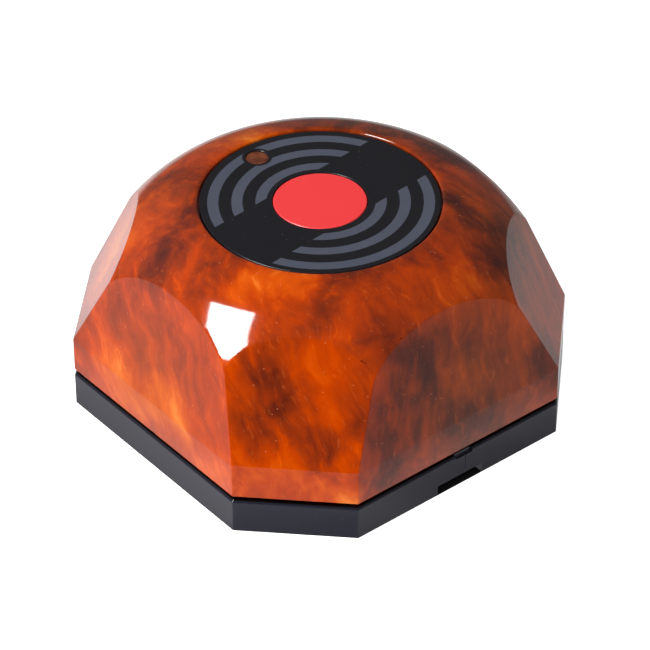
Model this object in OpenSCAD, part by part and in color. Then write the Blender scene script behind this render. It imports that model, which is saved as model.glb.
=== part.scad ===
// Wireless call button for a counter or a table.
// A faceted, domed shell stands on a low black base. A flat black disc lies in the top of the dome,
// and the red button in its middle is pressed straight down on a tactile switch.
// The frame stands on the table: +Z is up, the origin is under the middle of the base,
// and the short face nearest to the user looks along -Y.

/* [Body] */
// Width across two opposite long faces
across_faces = 60; // [56:1:66]
// Width across two opposite short faces, which cut the corners of the square
across_cuts = 67.8; // [64:0.2:74]
// Height of the black base
base_h = 5.2; // [4.4:0.1:6]
// Shadow gap between the base and the shell
seam = 0.7; // [0.3:0.1:1]
// Height of the upright band at the foot of the shell
skirt_h = 5.3; // [3:0.1:7]
// Lean of the long faces above the band, in degrees
face_lean = 14.8; // [8:0.2:20]
// Lean of the short faces above the band, in degrees
cut_lean = 26.7; // [20:0.1:32]
// Wall of the shell and of the base
wall = 2; // [1.6:0.1:2.4]

/* [Dome] */
// Radius of the dome's curve, seen from the side
dome_r = 19.5; // [18:0.1:24]
// Distance of the curve's centre from the middle
dome_ring = 13.2; // [10:0.1:14]
// Height of the curve's centre above the table
dome_z = 12.5; // [11:0.1:14]

/* [Face disc] */
// Radius of the black disc
disc_r = 16.6; // [15:0.1:18]
// Thickness of the disc
disc_t = 1; // [0.8:0.1:1.4]
// Depth of the disc's face below the rim around it
disc_sink = 0.3; // [0.1:0.1:0.6]
// Inner radius of the smallest printed arc
arc_first_r = 7.5; // [7.2:0.1:8]
// Width of each printed arc
arc_w = 1.53; // [1:0.01:1.8]
// Distance from one printed arc to the next
arc_pitch = 3.31; // [2.8:0.01:3.4]
// Half the width of the bare band that crosses the disc
band_half = 5.65; // [4:0.05:7]
// Angle of the bare band, in degrees
band_angle = 49.7; // [30:0.1:60]

/* [Button] */
// Radius of the red button
button_r = 6.5; // [5:0.1:7]
// Gap between the button and the disc around it
button_gap = 0.12; // [0.1:0.01:0.3]
// How far the button goes down
button_travel = 0.5; // [0.3:0.05:0.6]

/* [Indicator] */
// Distance of the indicator window left of the middle
window_x = 9.8; // [9:0.1:11]
// Distance of the indicator window behind the middle
window_y = 9.35; // [9:0.05:10.5]
// Radius of the window's hole in the disc
window_r = 1.65; // [1.5:0.05:2]

/* [Base details] */
// Width of the prying slot in the foot of the base
slot_w = 8; // [6:0.5:10]
// Height of the prying slot
slot_h = 1.5; // [1:0.1:1.8]
// Distance between the two table screws
table_screw_pitch = 38; // [34:1:40]
// Radius of the holes for the table screws
table_screw_r = 1.8; // [1.5:0.1:2.2]

/* [Electronics] */
// Radius of the round circuit board
board_r = 24; // [23:0.5:25]
// Height of the board's lower face
board_z = 15.2; // [15:0.1:16]
// Thickness of the board
board_t = 1.6; // [1:0.1:1.6]
// Diameter of the battery
cell_d = 10.3; // [10:0.1:10.4]
// Length of the battery with its button end
cell_len = 28.5; // [28:0.1:29]

/* [Hidden] */
$fn = 96;

// overcut for clean cuts, a block larger than the part, and a very thin sheet
cut = 0.5;
big = 200;
sheet = 0.01;
// turn of the long faces from the short ones, and from one face to the next of its kind
face_turn = 45;
quarter = 90;

// levels of the outside
shell_z = base_h + seam;
skirt_top_z = shell_z + skirt_h;
// the dome's curve ends at this slope and goes on as a straight cone, clear of the flat faces
dome_end = 54;
rim_r = disc_r + 0.25;
rim_z = dome_z + sqrt(pow(dome_r, 2) - pow(rim_r - dome_ring, 2));
disc_z = rim_z - disc_sink;
recess_z = disc_z - disc_t;
recess_gap = 0.15;
ceiling_t = 1.6;
ceiling_z = recess_z - ceiling_t;
edge_break = 0.3;

// base
pad_depth = 1;
floor_t = 1.6;
floor_z = pad_depth + floor_t;
rim_w = 2.6;
lip_gap = 0.1;
lip_t = 1.3;
lip_in = wall + lip_gap;
lip_top = 7.6;
grip_r = 0.5;
grip_proud = 0.08;
grip_at = 9;
slot_at = 0.2;
slot_depth = 4;
notch_w = 3;
notch_h = 0.6;
notch_depth = 0.5;
notch_at = 0.9;
score_at = 1.1;
score_w = 0.2;
score_depth = 0.12;
score_low = 2.3;
table_boss_r = 4.6;
head_r = 3.4;
head_depth = 1.1;
pad_x = 40;
pad_y = 24;
pad_corner = 3;
floor_rib_h = 1;
floor_rib_t = 1;
floor_rib_at = 9;

// shell inside
stop_at = 12;
stop_t = 1.2;
stop_depth = 1.6;
stop_h = 7;
post_at = 14.5;
post_r = 2.6;
post_rib_t = 1;
post_rib_len = 5;
screw_r = 0.95;
pilot_gap = 0.05;
pilot_len = 8;
collar_r = 8;
collar_t = 1.2;
collar_h = 2.8;

// printed arcs: thin layer let into the disc, a little off the middle as printed
print_t = 0.1;
print_shift = 0.2;
window_ring = 0.45;
arc_count = 3;

// button
flange_r = 7.5;
flange_t = 1.2;
button_wall = 1.2;
button_top_t = 1.2;
button_rib_t = 0.8;
stem_r = 1.75;
button_edge = 0.15;

// tactile switch
board_top = board_z + board_t;
switch_w = 6;
switch_h = 3.5;
switch_floor = 0.8;
switch_cavity_r = 2.4;
cover_t = 0.3;
cover_hole_r = 1.8;
pip_r = 0.45;
pip_h = 0.25;
pip_at = 2.3;
switch_top = board_top + switch_h;
plunger_r = 1.7;
plunger_foot_r = 2.2;
plunger_foot_h = 1.2;
plunger_top = 26;
pin_w = 0.7;
pin_t = 0.3;
pin_y = 2.25;
pin_out = 1.2;
pin_in = 0.4;
dome_t = 0.15;
snap_r = 2.1;
snap_h = switch_h - switch_floor - plunger_foot_h;
snap_ball = (pow(snap_r, 2) + pow(snap_h, 2)) / (2 * snap_h);

// indicator
lens_gap = 0.1;
lens_sink = 0.4;
lens_flange_r = 2.3;
lens_flange_t = 1.1;
led_r = 1.5;
led_flange_r = 1.9;
led_flange_t = 1;
led_z = 22;
led_straight = 3;
lead_w = 0.5;
lead_at = 1.27;

// parts on the board
chip_size = [4.9, 3.9, 1.4];
chip_pos = [-11.5, -4];
chip_stand = 0.15;
leg_pitch = 1.27;
leg_w = 0.42;
leg_t = 0.2;
leg_out = 1.05;
leg_drop = 0.75;
saw_pos = [11, 3.5];
saw_r = 4.1;
saw_flange_r = 4.6;
saw_flange_t = 0.5;
saw_h = 3.4;
saw_round = 0.5;
smd_size = [1.6, 0.8, 0.5];
smd_places = [[-5, -9, 0], [-2, -9, 0], [1, -9, 0], [4.5, -9.5, 90], [7, -8.5, 90],
    [5.5, 9.5, 0], [8.5, 9.5, 0], [-13, 2.5, 90], [-5, 13, 90], [0, 11, 0]];

// antenna coil
coil_r = 2.2;
coil_wire = 0.8;
coil_pitch = 1.5;
coil_turns = 9.5;
coil_y = -18;
coil_z = board_top + coil_wire + coil_r + 0.2;
coil_rings = 8;
coil_sides = 6;

// battery and its holder
cell_r = cell_d / 2;
cell_skin = 0.2;
cell_z = 8.9;
nub_r = 2.9;
nub_h = 1.3;
plus_x = 16.2;
minus_x = plus_x - cell_len;
plate_t = 0.4;
plate_w = 7.2;
plate_h = 7.6;
end_wall_t = 1.6;
holder_gap = 0.2;
holder_t = 0.9;
holder_open = 3.2;
holder_window = 12;
holder_base_w = 12.6;
spring_wire = 0.6;
spring_turns = 3;
spring_r_big = 3.4;
spring_r_small = 2;

// board screws
screw_head_r = 2;
screw_head_h = 1.4;
screw_len = 7;
cross_w = 0.5;
cross_len = 2.4;
cross_depth = 0.7;

// ------------------------------------------------------------------ shared shapes

// plan of the body: a square whose corners are cut by a larger square turned half way
module plan(face_in = 0, cut_in = 0) {
    intersection() {
        square(across_cuts - 2 * cut_in, center = true);
        rotate(face_turn) square(across_faces - 2 * face_in, center = true);
    }
}

// an upright octagon that is drawn in above level mid: long faces by face_in, short ones by cut_in
module drawn_in(low, mid, high, face_in, cut_in) {
    hull() {
        translate([0, 0, low]) linear_extrude(mid - low) plan();
        translate([0, 0, high - sheet]) linear_extrude(sheet) plan(face_in, cut_in);
    }
}

// everything beyond one leaning plane that starts at half_w on the top of the band
module beyond_plane(half_w, lean, inset) {
    translate([half_w, 0, skirt_top_z])
        rotate([0, -lean, 0])
            translate([-inset, -big / 2, -big / 2])
                cube(big);
}

// the dome: an arc that leaves the flat top and runs on as a cone
module dome(inset = 0) {
    r = dome_r - inset;
    end_r = dome_ring + r * sin(dome_end);
    end_z = dome_z + r * cos(dome_end);
    rotate_extrude()
        intersection() {
            union() {
                translate([dome_ring, dome_z]) circle(r = r);
                square([dome_ring, dome_z + r]);
                polygon([[0, 0], [0, dome_z], [end_r, end_z], [end_r + end_z / tan(dome_end), 0]]);
            }
            square([big, dome_z + r]);
        }
}

// outside of the faceted and domed shell
module shell_form() {
    rise = dome_z + dome_r - skirt_top_z;
    intersection() {
        drawn_in(shell_z, skirt_top_z, skirt_top_z + rise, rise * tan(face_lean), rise * tan(cut_lean));
        dome();
    }
}

// the same form drawn in all over by inset, from level low up
module inner_form(low, inset) {
    difference() {
        intersection() {
            translate([0, 0, low]) linear_extrude(big) plan(inset, inset);
            dome(inset);
        }
        for (k = [0 : 3]) {
            rotate([0, 0, k * quarter]) beyond_plane(across_cuts / 2, cut_lean, inset);
            rotate([0, 0, k * quarter + face_turn]) beyond_plane(across_faces / 2, face_lean, inset);
        }
    }
}

module at_four(d) {
    for (x = [-d, d], y = [-d, d]) translate([x, y, 0]) children();
}

module bar(size) {
    translate([-size[0] / 2, -size[1] / 2, 0]) cube(size);
}

// one unbroken round tube along a path that winds round the line y = axis[0], z = axis[1]:
// its rings face the way the path runs
function unit(v) = v / norm(v);
function heading(path, i) = unit(path[min(i + 1, len(path) - 1)] - path[max(i - 1, 0)]);
function outward(p, axis) = [0, p[1] - axis[0], p[2] - axis[1]];
function ring(path, i, r, n, axis) =
    let (h = heading(path, i), a = unit(cross(h, outward(path[i], axis))), b = cross(h, a))
        [for (k = [0 : n - 1]) path[i] + r * (cos(360 * k / n) * a + sin(360 * k / n) * b)];

module tube(path, r, n, axis) {
    rings = [for (i = [0 : len(path) - 1]) each ring(path, i, r, n, axis)];
    last = (len(path) - 1) * n;
    walls = [for (i = [0 : len(path) - 2], k = [0 : n - 1])
        let (a = i * n + k, b = i * n + (k + 1) % n) each [[a, b, a + n], [b, b + n, a + n]]];
    start_cap = [for (k = [1 : n - 2]) [0, k + 1, k]];
    end_cap = [for (k = [1 : n - 2]) [last, last + k, last + k + 1]];
    polyhedron(points = rings, faces = concat(walls, start_cap, end_cap));
}

// smallest free space between turns of a tube, from points that are half a turn or more apart
function least_gap(path, per_turn, d) = min([for (i = [0 : len(path) - 1], j = [0 : len(path) - 1])
    if (j - i >= per_turn / 2) norm(path[i] - path[j])]) - d;

// ------------------------------------------------------------------ base

module slot_cut() {
    rotate([0, 0, -face_turn])
        translate([across_faces / 2 - slot_depth, slot_at - slot_w / 2, -cut])
            cube([slot_depth + cut, slot_w, slot_h + cut]);
}

module notch_cut() {
    rotate([0, 0, -face_turn]) {
        translate([across_faces / 2 - notch_depth, notch_at - notch_w / 2, base_h - notch_h])
            cube([notch_depth + cut, notch_w, notch_h + cut]);
        translate([across_faces / 2 - score_depth, score_at - score_w / 2, score_low])
            cube([score_depth + cut, score_w, base_h - score_low]);
    }
}

module table_screw_cut() {
    for (y = [-1, 1]) translate([0, y * table_screw_pitch / 2, 0]) {
        translate([0, 0, -cut]) cylinder(r = table_screw_r, h = floor_z + 2 * cut);
        translate([0, 0, floor_z - head_depth]) cylinder(r = head_r, h = head_depth + cut);
    }
}

module lip() {
    difference() {
        translate([0, 0, pad_depth]) linear_extrude(lip_top - pad_depth) plan(lip_in, lip_in);
        translate([0, 0, floor_z]) linear_extrude(lip_top) plan(lip_in + lip_t, lip_in + lip_t);
    }
    for (k = [0 : 3], u = [-grip_at, grip_at])
        rotate([0, 0, k * quarter + face_turn])
            translate([across_faces / 2 - lip_in + grip_proud - grip_r, u, floor_z])
                cylinder(r = grip_r, h = lip_top - floor_z, $fn = 32);
}

module base_plate() {
    color("#1d1e22")
    difference() {
        union() {
            difference() {
                drawn_in(0, base_h - edge_break, base_h, edge_break, edge_break);
                translate([0, 0, floor_z]) linear_extrude(base_h) plan(wall, wall);
                translate([0, 0, -cut]) linear_extrude(pad_depth + cut) plan(rim_w, rim_w);
            }
            lip();
            for (y = [-1, 1]) translate([0, y * table_screw_pitch / 2, 0])
                cylinder(r = table_boss_r, h = floor_z);
            for (x = [-floor_rib_at, floor_rib_at])
                translate([x, 0, floor_z]) bar([floor_rib_t, table_screw_pitch, floor_rib_h]);
        }
        slot_cut();
        notch_cut();
        table_screw_cut();
    }
}

module adhesive_pad() {
    color("#8a8a86")
    linear_extrude(pad_depth)
        difference() {
            square([pad_x, pad_y], center = true);
            for (x = [-1, 1], y = [-1, 1])
                translate([x * pad_x / 2, y * pad_y / 2])
                    difference() {
                        square(2 * pad_corner, center = true);
                        translate([-x * pad_corner, -y * pad_corner]) circle(r = pad_corner);
                    }
        }
}

// ------------------------------------------------------------------ shell

module posts() {
    at_four(post_at) translate([0, 0, board_top]) cylinder(r = post_r, h = big / 4);
    for (k = [0 : 3]) rotate([0, 0, k * quarter + face_turn])
        translate([post_at * sqrt(2) + post_rib_len / 2, 0, board_top + post_rib_t])
            bar([post_rib_len, post_rib_t, big / 4]);
}

// upright ribs whose feet stand on the lip of the base
module stops() {
    for (k = [0 : 3], u = [-stop_at, stop_at])
        rotate([0, 0, k * quarter + face_turn])
            translate([across_faces / 2 - wall - stop_depth, u - stop_t / 2, lip_top])
                cube([stop_depth + wall / 2, stop_t, stop_h]);
}

module top_shell() {
    color("#b4531f")
    difference() {
        union() {
            difference() {
                shell_form();
                intersection() {
                    inner_form(-cut, wall);
                    cylinder(r = big, h = ceiling_z);
                }
            }
            intersection() {
                union() {
                    posts();
                    stops();
                    translate([0, 0, ceiling_z - collar_h])
                        cylinder(r = collar_r + collar_t, h = collar_h + cut);
                }
                inner_form(shell_z, wall / 2);
                cylinder(r = big, h = ceiling_z + cut);
            }
        }
        translate([0, 0, recess_z]) cylinder(r = disc_r + recess_gap, h = disc_t + 2);
        translate([0, 0, ceiling_z - collar_h - cut]) cylinder(r = collar_r, h = collar_h + cut);
        translate([0, 0, ceiling_z - cut]) cylinder(r = button_r + button_gap, h = ceiling_t + 2 * cut);
        translate([-window_x, window_y, ceiling_z - cut])
            cylinder(r = window_r, h = ceiling_t + 2 * cut);
        at_four(post_at) translate([0, 0, board_top - cut])
            cylinder(r = screw_r + pilot_gap, h = pilot_len);
    }
}

// ------------------------------------------------------------------ face

// the arcs in plan: rings, less the bare band and a margin round the indicator window
module arcs_plan() {
    difference() {
        rotate(band_angle) translate([0, -print_shift])
            difference() {
                for (i = [0 : arc_count - 1]) difference() {
                    circle(r = arc_first_r + i * arc_pitch + arc_w);
                    circle(r = arc_first_r + i * arc_pitch);
                }
                square([big, 2 * band_half], center = true);
            }
        translate([-window_x, window_y]) circle(r = window_r + window_ring);
    }
}

module face_disc() {
    color("#15161a")
    difference() {
        translate([0, 0, recess_z]) cylinder(r = disc_r, h = disc_t);
        translate([0, 0, recess_z - cut]) cylinder(r = button_r + button_gap, h = disc_t + 2 * cut);
        translate([-window_x, window_y, recess_z - cut]) cylinder(r = window_r, h = disc_t + 2 * cut);
        translate([0, 0, disc_z - print_t]) linear_extrude(print_t + cut) arcs_plan();
    }
}

module printed_arcs() {
    color("#565b6a")
    translate([0, 0, disc_z - print_t]) linear_extrude(print_t) arcs_plan();
}

module call_button() {
    inner = button_r - button_wall;
    color("#dc2f33")
    union() {
        difference() {
            union() {
                translate([0, 0, ceiling_z])
                    cylinder(r = button_r, h = disc_z - ceiling_z - button_edge);
                translate([0, 0, disc_z - button_edge])
                    cylinder(r = button_r - button_edge, h = button_edge);
                translate([0, 0, ceiling_z - flange_t]) cylinder(r = flange_r, h = flange_t);
            }
            translate([0, 0, ceiling_z - flange_t - cut])
                cylinder(r = inner, h = disc_z - button_top_t - ceiling_z + flange_t + cut);
        }
        translate([0, 0, plunger_top])
            cylinder(r = stem_r, h = disc_z - button_top_t - plunger_top + cut);
        for (turn = [0, quarter]) rotate([0, 0, turn])
            translate([0, 0, ceiling_z - flange_t])
                bar([2 * inner + cut, button_rib_t, disc_z - button_top_t - ceiling_z + flange_t + cut]);
    }
}

// ------------------------------------------------------------------ indicator

module led_window() {
    color("#b5561c", 0.8)
    translate([-window_x, window_y, 0]) {
        translate([0, 0, ceiling_z - lens_flange_t])
            cylinder(r = lens_flange_r, h = lens_flange_t);
        translate([0, 0, ceiling_z - cut])
            cylinder(r = window_r - lens_gap, h = disc_z - lens_sink - ceiling_z + cut);
    }
}

module led() {
    color("#e8d9d2")
    translate([-window_x, window_y, led_z])
        rotate_extrude()
            intersection() {
                union() {
                    square([led_flange_r, led_flange_t]);
                    square([led_r, led_flange_t + led_straight]);
                    translate([0, led_flange_t + led_straight]) circle(r = led_r);
                }
                square(big);
            }
}

module led_leads() {
    color("#c9ccd0")
    for (x = [-lead_at, lead_at])
        translate([x - window_x, window_y, board_top]) bar([lead_w, lead_w, led_z - board_top]);
}

// ------------------------------------------------------------------ board and switch

module circuit_board() {
    color("#1f6b3a")
    difference() {
        translate([0, 0, board_z]) cylinder(r = board_r, h = board_t);
        at_four(post_at) translate([0, 0, board_z - cut])
            cylinder(r = screw_r + 4 * pilot_gap, h = board_t + 2 * cut);
    }
}

module switch_housing() {
    color("#26272b")
    difference() {
        translate([0, 0, board_top]) bar([switch_w, switch_w, switch_h]);
        translate([0, 0, board_top + switch_floor]) cylinder(r = switch_cavity_r, h = switch_h);
    }
}

module switch_cover() {
    color("#c4c6c8")
    difference() {
        union() {
            translate([0, 0, switch_top]) bar([switch_w, switch_w, cover_t]);
            at_four(pip_at) translate([0, 0, switch_top]) cylinder(r = pip_r, h = cover_t + pip_h);
        }
        translate([0, 0, switch_top - cut]) cylinder(r = cover_hole_r, h = cover_t + 2 * cut);
    }
}

module switch_pins() {
    color("#c9ccd0")
    for (s = [-1, 1], y = [-pin_y, pin_y])
        translate([s * switch_w / 2, y, board_top]) {
            translate([s * pin_out / 2, 0, 0]) bar([pin_out, pin_w, pin_t]);
            translate([s * pin_t / 2, 0, 0]) bar([pin_t, pin_w, pin_in + pin_t]);
        }
}

module switch_dome() {
    color("#d9dadc")
    translate([0, 0, board_top + switch_floor])
        rotate_extrude()
            intersection() {
                translate([0, snap_h - snap_ball]) difference() {
                    circle(r = snap_ball);
                    circle(r = snap_ball - dome_t);
                }
                square([big, snap_h]);
            }
}

module switch_plunger() {
    color("#3a3b40")
    union() {
        translate([0, 0, switch_top - plunger_foot_h]) cylinder(r = plunger_foot_r, h = plunger_foot_h);
        translate([0, 0, switch_top - cut]) cylinder(r = plunger_r, h = plunger_top - switch_top + cut);
    }
}

module encoder_chip() {
    color("#1a1a1c")
    translate([chip_pos[0], chip_pos[1], board_top + chip_stand])
        difference() {
            bar(chip_size);
            translate([-chip_size[0] / 2, 0, chip_size[2] - chip_stand])
                cylinder(r = leg_w, h = cut);
        }
}

module chip_legs() {
    color("#c9ccd0")
    for (s = [-1, 1], i = [-1.5 : 1.5])
        translate([chip_pos[0] + i * leg_pitch, chip_pos[1] + s * chip_size[1] / 2, board_top]) {
            translate([0, s * leg_out / 2, 0]) bar([leg_w, leg_out, leg_t]);
            translate([0, s * leg_t / 2, 0]) bar([leg_w, leg_t, leg_drop]);
        }
}

module saw_can() {
    color("#b9bcc0")
    translate([saw_pos[0], saw_pos[1], board_top])
        rotate_extrude() {
            square([saw_flange_r, saw_flange_t]);
            square([saw_r, saw_h - saw_round]);
            square([saw_r - saw_round, saw_h]);
            translate([saw_r - saw_round, saw_h - saw_round])
                intersection() {
                    circle(r = saw_round);
                    square(saw_round);
                }
        }
}

module smd_parts() {
    color("#b7a27c")
    for (p = smd_places)
        translate([p[0], p[1], board_top]) rotate([0, 0, p[2]]) bar(smd_size);
}

// one helical coil whose two ends run straight down into the board, on opposite sides
coil_path = let (half = coil_turns * coil_pitch / 2, n = coil_turns * coil_rings) concat(
    [[-half, coil_y - coil_r, board_top], [-half, coil_y - coil_r, board_top + coil_wire]],
    [for (i = [0 : n]) let (a = 360 * i / coil_rings)
        [-half + coil_pitch * i / coil_rings, coil_y - coil_r * cos(a), coil_z + coil_r * sin(a)]],
    [[half, coil_y + coil_r, board_top + coil_wire], [half, coil_y + coil_r, board_top]]);

module coil_antenna() {
    color("#b5713a") tube(coil_path, coil_wire / 2, coil_sides, [coil_y, coil_z]);
}

// ------------------------------------------------------------------ battery

module along_x(x) {
    translate([x, 0, cell_z]) rotate([0, quarter, 0]) children();
}

module battery_cell() {
    can_len = cell_len - nub_h;
    color("#c9b06a")
    union() {
        along_x(minus_x) cylinder(r = cell_r - cell_skin, h = can_len);
        along_x(minus_x + can_len - cut) cylinder(r = nub_r, h = nub_h + cut);
    }
}

module battery_sleeve() {
    sleeve_len = cell_len - nub_h - 2 * cell_skin;
    color("#25262c")
    difference() {
        along_x(minus_x + cell_skin) cylinder(r = cell_r, h = sleeve_len);
        along_x(minus_x) cylinder(r = cell_r - cell_skin, h = cell_len);
    }
}

module battery_holder() {
    inner = cell_r + holder_gap;
    outer = inner + holder_t;
    half = plus_x + plate_t;
    color("#1b1c1f")
    difference() {
        union() {
            along_x(-half) cylinder(r = outer, h = 2 * half);
            translate([0, 0, cell_z]) bar([2 * half, holder_base_w, board_z - cell_z]);
            for (s = [-1, 1]) translate([s * (half + end_wall_t / 2), 0, cell_z - cell_r])
                bar([end_wall_t, holder_base_w, board_z - cell_z + cell_r]);
        }
        along_x(-half) cylinder(r = inner, h = 2 * half);
        translate([0, 0, -holder_open]) bar([2 * half, holder_base_w + 1, cell_z]);
        translate([0, 0, 0]) bar([holder_window, holder_base_w + 1, cell_z + 1]);
        translate([0, 0, 0]) bar([2 * half, 2 * sqrt(pow(inner, 2) - pow(holder_open, 2)), cell_z]);
    }
}

module contact_plates() {
    color("#c9ccd0")
    for (s = [-1, 1])
        translate([s * (plus_x + plate_t / 2), 0, cell_z - plate_h / 2]) bar([plate_t, plate_w, plate_h]);
}

// a conical spring from the wide turn on its plate to the narrow turn on the battery
spring_path = let (
    x0 = -plus_x,
    n = spring_turns * coil_rings,
    run = minus_x - x0 - 2 * spring_wire,
    end_a = 360 * spring_turns) concat(
    [[x0, 0, cell_z + spring_r_big]],
    [for (i = [0 : n]) let (a = end_a * i / n, r = spring_r_big + (spring_r_small - spring_r_big) * i / n)
        [x0 + spring_wire + run * i / n, r * sin(a), cell_z + r * cos(a)]],
    [[minus_x, 0, cell_z + spring_r_small]]);

module battery_spring() {
    color("#d0d2d4") tube(spring_path, spring_wire / 2, coil_sides, [0, cell_z]);
}

module board_screws() {
    color("#9a9da1")
    at_four(post_at)
        difference() {
            union() {
                translate([0, 0, board_z - screw_head_h]) cylinder(r = screw_head_r, h = screw_head_h);
                translate([0, 0, board_z - cut]) cylinder(r = screw_r, h = screw_len + cut);
            }
            for (turn = [0, quarter]) rotate([0, 0, turn])
                translate([0, 0, board_z - screw_head_h - cut])
                    bar([cross_len, cross_w, cross_depth + cut]);
        }
}

echo(coil_gap = least_gap(coil_path, coil_rings, coil_wire));
echo(spring_gap = least_gap(spring_path, coil_rings, spring_wire));

base_plate();
adhesive_pad();
top_shell();
face_disc();
printed_arcs();
call_button();
led_window();
led();
led_leads();
circuit_board();
switch_housing();
switch_cover();
switch_pins();
switch_dome();
switch_plunger();
encoder_chip();
chip_legs();
saw_can();
smd_parts();
coil_antenna();
battery_cell();
battery_sleeve();
battery_holder();
contact_plates();
battery_spring();
board_screws();
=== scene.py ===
# %% [markdown]
# # A wireless call button in marbled plastic
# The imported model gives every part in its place, in metres, with the table at z = 0. Each cell
# below takes one piece or one finish: what it is on the real object, how it could be made, and
# why this way was chosen. The frame comes first, because every new piece has to fit it.

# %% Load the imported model
import math
import bmesh
import bpy
from mathutils import Matrix, Vector


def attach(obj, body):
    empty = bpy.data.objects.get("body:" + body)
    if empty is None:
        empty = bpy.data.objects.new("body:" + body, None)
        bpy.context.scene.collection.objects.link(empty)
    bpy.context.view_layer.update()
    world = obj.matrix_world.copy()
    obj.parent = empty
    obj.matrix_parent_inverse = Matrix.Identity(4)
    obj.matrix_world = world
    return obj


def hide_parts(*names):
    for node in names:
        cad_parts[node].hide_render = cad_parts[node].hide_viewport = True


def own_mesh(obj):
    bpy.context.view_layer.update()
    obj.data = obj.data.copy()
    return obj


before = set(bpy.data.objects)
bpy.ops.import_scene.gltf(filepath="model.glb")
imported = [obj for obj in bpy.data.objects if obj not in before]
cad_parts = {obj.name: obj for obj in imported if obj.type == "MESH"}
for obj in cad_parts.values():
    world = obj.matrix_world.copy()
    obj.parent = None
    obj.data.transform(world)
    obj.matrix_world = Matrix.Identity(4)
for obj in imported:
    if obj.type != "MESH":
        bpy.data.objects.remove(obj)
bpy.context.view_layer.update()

MM = 0.001

# %% [markdown]
# ## Camera
# A product photograph is taken from far away with a long lens, so that the sides hardly converge.
# The camera stands a little to the right of the front short face and looks down on the button.
# Its place is written as a turn, a height angle, a slight tilt and the object's distance.

# %% Camera
CAMERA_TURN, CAMERA_HEIGHT, CAMERA_TILT = (math.radians(a) for a in (5.973, 37.749, -0.259))
CAMERA_AWAY = 546.803 * MM
CAMERA_ASIDE = (-0.558 * MM, 7.661 * MM)
LENS_MM, SENSOR_MM = 212.74, 36.0


def make_camera():
    ahead = Vector((-math.sin(CAMERA_TURN) * math.cos(CAMERA_HEIGHT),
                    math.cos(CAMERA_TURN) * math.cos(CAMERA_HEIGHT), -math.sin(CAMERA_HEIGHT)))
    level = Vector((math.cos(CAMERA_TURN), math.sin(CAMERA_TURN), 0))
    down = ahead.cross(level)
    right = math.cos(CAMERA_TILT) * level - math.sin(CAMERA_TILT) * down
    low = math.sin(CAMERA_TILT) * level + math.cos(CAMERA_TILT) * down
    turn = Matrix((right, -low, -ahead)).transposed()
    place = -(right * CAMERA_ASIDE[0] + low * CAMERA_ASIDE[1] + ahead * CAMERA_AWAY)
    data = bpy.data.cameras.new("camera")
    data.lens, data.sensor_width = LENS_MM, SENSOR_MM
    data.clip_start, data.clip_end = 0.01, 10
    camera = bpy.data.objects.new("camera", data)
    camera.matrix_world = Matrix.Translation(place) @ turn.to_4x4()
    bpy.context.scene.collection.objects.link(camera)
    bpy.context.scene.camera = camera
    return camera


print("camera at", [round(v, 3) for v in make_camera().matrix_world.translation])

# %% [markdown]
# ## Small helpers for materials
# A material is a graph of nodes. One helper adds a node and sets its sockets, and short names
# for the usual nodes let each finish below read as a list of what feeds what. Every finish reads
# Object coordinates, because each piece has its place in its mesh and a pattern lies still on it.

# %% Material helpers
def feed(tree, node, values):
    """Sets a node's sockets, each to a constant or from another node."""
    for key, value in values.items():
        if isinstance(value, bpy.types.NodeSocket):
            tree.links.new(value, node.inputs[key])
        else:
            node.inputs[key].default_value = value


def add(tree, kind, values, **settings):
    made = tree.nodes.new(kind)
    for key, value in settings.items():
        setattr(made, key, value)
    feed(tree, made, values)
    return made


def own_place(tree):
    return tree.nodes.new("ShaderNodeTexCoord").outputs["Object"]


def parts_of(tree, vector):
    return add(tree, "ShaderNodeSeparateXYZ", {0: vector}).outputs


def noise(tree, place, scale, detail=2.0, roughness=0.5):
    return add(tree, "ShaderNodeTexNoise", {"Vector": place, "Scale": scale, "Detail": detail,
                                            "Roughness": roughness}).outputs["Fac"]


def maths(tree, operation, a, b=0.0, clamp=False):
    return add(tree, "ShaderNodeMath", {0: a, 1: b}, operation=operation, use_clamp=clamp).outputs[0]


def plus(tree, a, b):
    return maths(tree, "ADD", a, b)


def times(tree, a, b, clamp=False):
    return maths(tree, "MULTIPLY", a, b, clamp)


def off_middle(tree, value):
    """How far a noise is from its middle value, which draws thin lines."""
    return maths(tree, "ABSOLUTE", maths(tree, "SUBTRACT", value, 0.5))


def stretch(tree, value, first, last, low=0.0, high=1.0, **settings):
    """Turns a value that runs from first to last into one that runs from low to high."""
    return add(tree, "ShaderNodeMapRange", {0: value, 1: first, 2: last, 3: low, 4: high},
               **settings).outputs[0]


def spread(tree, value, low, high):
    """Turns a 0 to 1 value into one from low to high."""
    return stretch(tree, value, 0.0, 1.0, low, high)


def blend(tree, factor, a, b, how="MIX"):
    return add(tree, "ShaderNodeMix", {0: factor, 6: a, 7: b}, data_type="RGBA",
               blend_type=how).outputs[2]


def ramp(tree, factor, stops):
    made = add(tree, "ShaderNodeValToRGB", {0: factor})
    points = made.color_ramp.elements
    while len(points) < len(stops):
        points.new(0.5)
    for point, (at, colour) in zip(points, stops):
        point.position, point.color = at, colour
    return made.outputs[0]


def paint(red, green, blue):
    """A colour written as it looks on a screen, 0 to 255, as linear light."""
    return (*((c / 255 / 12.92 if c <= 10 else ((c / 255 + 0.055) / 1.055) ** 2.4)
              for c in (red, green, blue)), 1.0)


def grey(value):
    return (value, value, value, 1.0)


print("material helpers ready")

# %% [markdown]
# ## Effects that several finishes share
# Moulded plastic has a fine grain, handled plastic has a few hair scratches, and everything
# gathers specks of dust. Each is a node group, built once and given its own values where it is
# used. A group puts out values and masks, and the shader stays in the material.

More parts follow.
